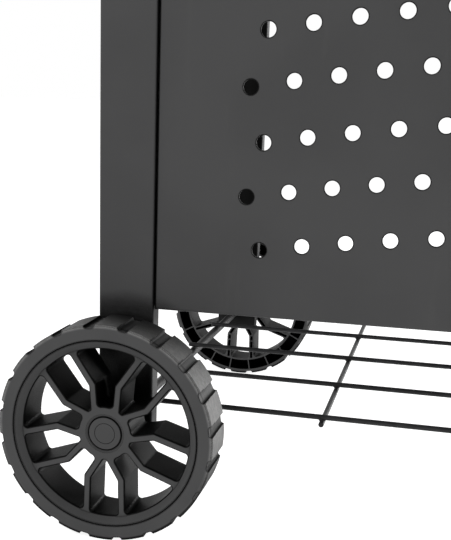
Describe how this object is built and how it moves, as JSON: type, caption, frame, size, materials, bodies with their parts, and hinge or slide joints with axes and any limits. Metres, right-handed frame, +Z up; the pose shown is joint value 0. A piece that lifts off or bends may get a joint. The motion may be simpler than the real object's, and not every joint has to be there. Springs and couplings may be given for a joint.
{
  "type": "wheeled display stand",
  "caption": "Folded-steel stand with an arched-row perforated front panel, open back, flat worktop, low wire rack and two moulded wheels on one axle.",
  "frame": {"origin": "centre of the whole stand's box, on the floor", "axes": "+X right along the front panel, +Y from the front to the open back, +Z up"},
  "size_m": [1.1554, 0.648, 0.8415],
  "materials": {
    "powder_coat": "fine matte charcoal powder coat",
    "coated_wire": "dark coated wire",
    "wheel_plastic": "matte moulded charcoal plastic",
    "black_nylon": "black nylon",
    "dark_steel": "black-zinc steel"
  },
  "bodies": {
    "frame": {"axle": "dark_steel", "axle_nuts": "dark_steel", "axle_washers": "dark_steel", "front_axle_bracket": "powder_coat", "front_axle_bush": "black_nylon", "front_left_leg": "powder_coat", "front_panel": "powder_coat", "front_panel_flanges": "powder_coat", "front_right_foot": "black_nylon", "front_right_leg": "powder_coat", "front_wheel_spacer": "black_nylon", "left_top_rail": "powder_coat", "panel_nuts": "dark_steel", "panel_screws": "dark_steel", "rack_cross_wire_1": "coated_wire", "rack_cross_wire_2": "coated_wire", "rack_cross_wire_3": "coated_wire", "rack_wire_1": "coated_wire", "rack_wire_2": "coated_wire", "rack_wire_3": "coated_wire", "rack_wire_4": "coated_wire", "rack_wire_5": "coated_wire", "rail_nuts": "dark_steel", "rail_screws": "dark_steel", "rear_axle_bracket": "powder_coat", "rear_axle_bush": "black_nylon", "rear_left_leg": "powder_coat", "rear_rail_nuts": "dark_steel", "rear_rail_screws": "dark_steel", "rear_right_foot": "black_nylon", "rear_right_leg": "powder_coat", "rear_top_rail": "powder_coat", "rear_wheel_spacer": "black_nylon", "right_bottom_rail": "powder_coat", "right_top_rail": "powder_coat", "worktop": "powder_coat", "worktop_nuts": "dark_steel", "worktop_screws": "dark_steel"},
    "front_wheel_body": {"front_wheel": "wheel_plastic", "front_hub_cap": "wheel_plastic"},
    "rear_wheel_body": {"rear_wheel": "wheel_plastic", "rear_hub_cap": "wheel_plastic"}
  },
  "joints": [
    {"name": "front_wheel_spin", "type": "hinge", "parent": "frame", "child": "front_wheel_body", "pos_m": [-0.47768, -0.30125, 0.1], "axis": [0, 1, 0], "continuous": true},
    {"name": "rear_wheel_spin", "type": "hinge", "parent": "frame", "child": "rear_wheel_body", "pos_m": [-0.47768, 0.30125, 0.1], "axis": [0, 1, 0], "continuous": true}
  ]
}
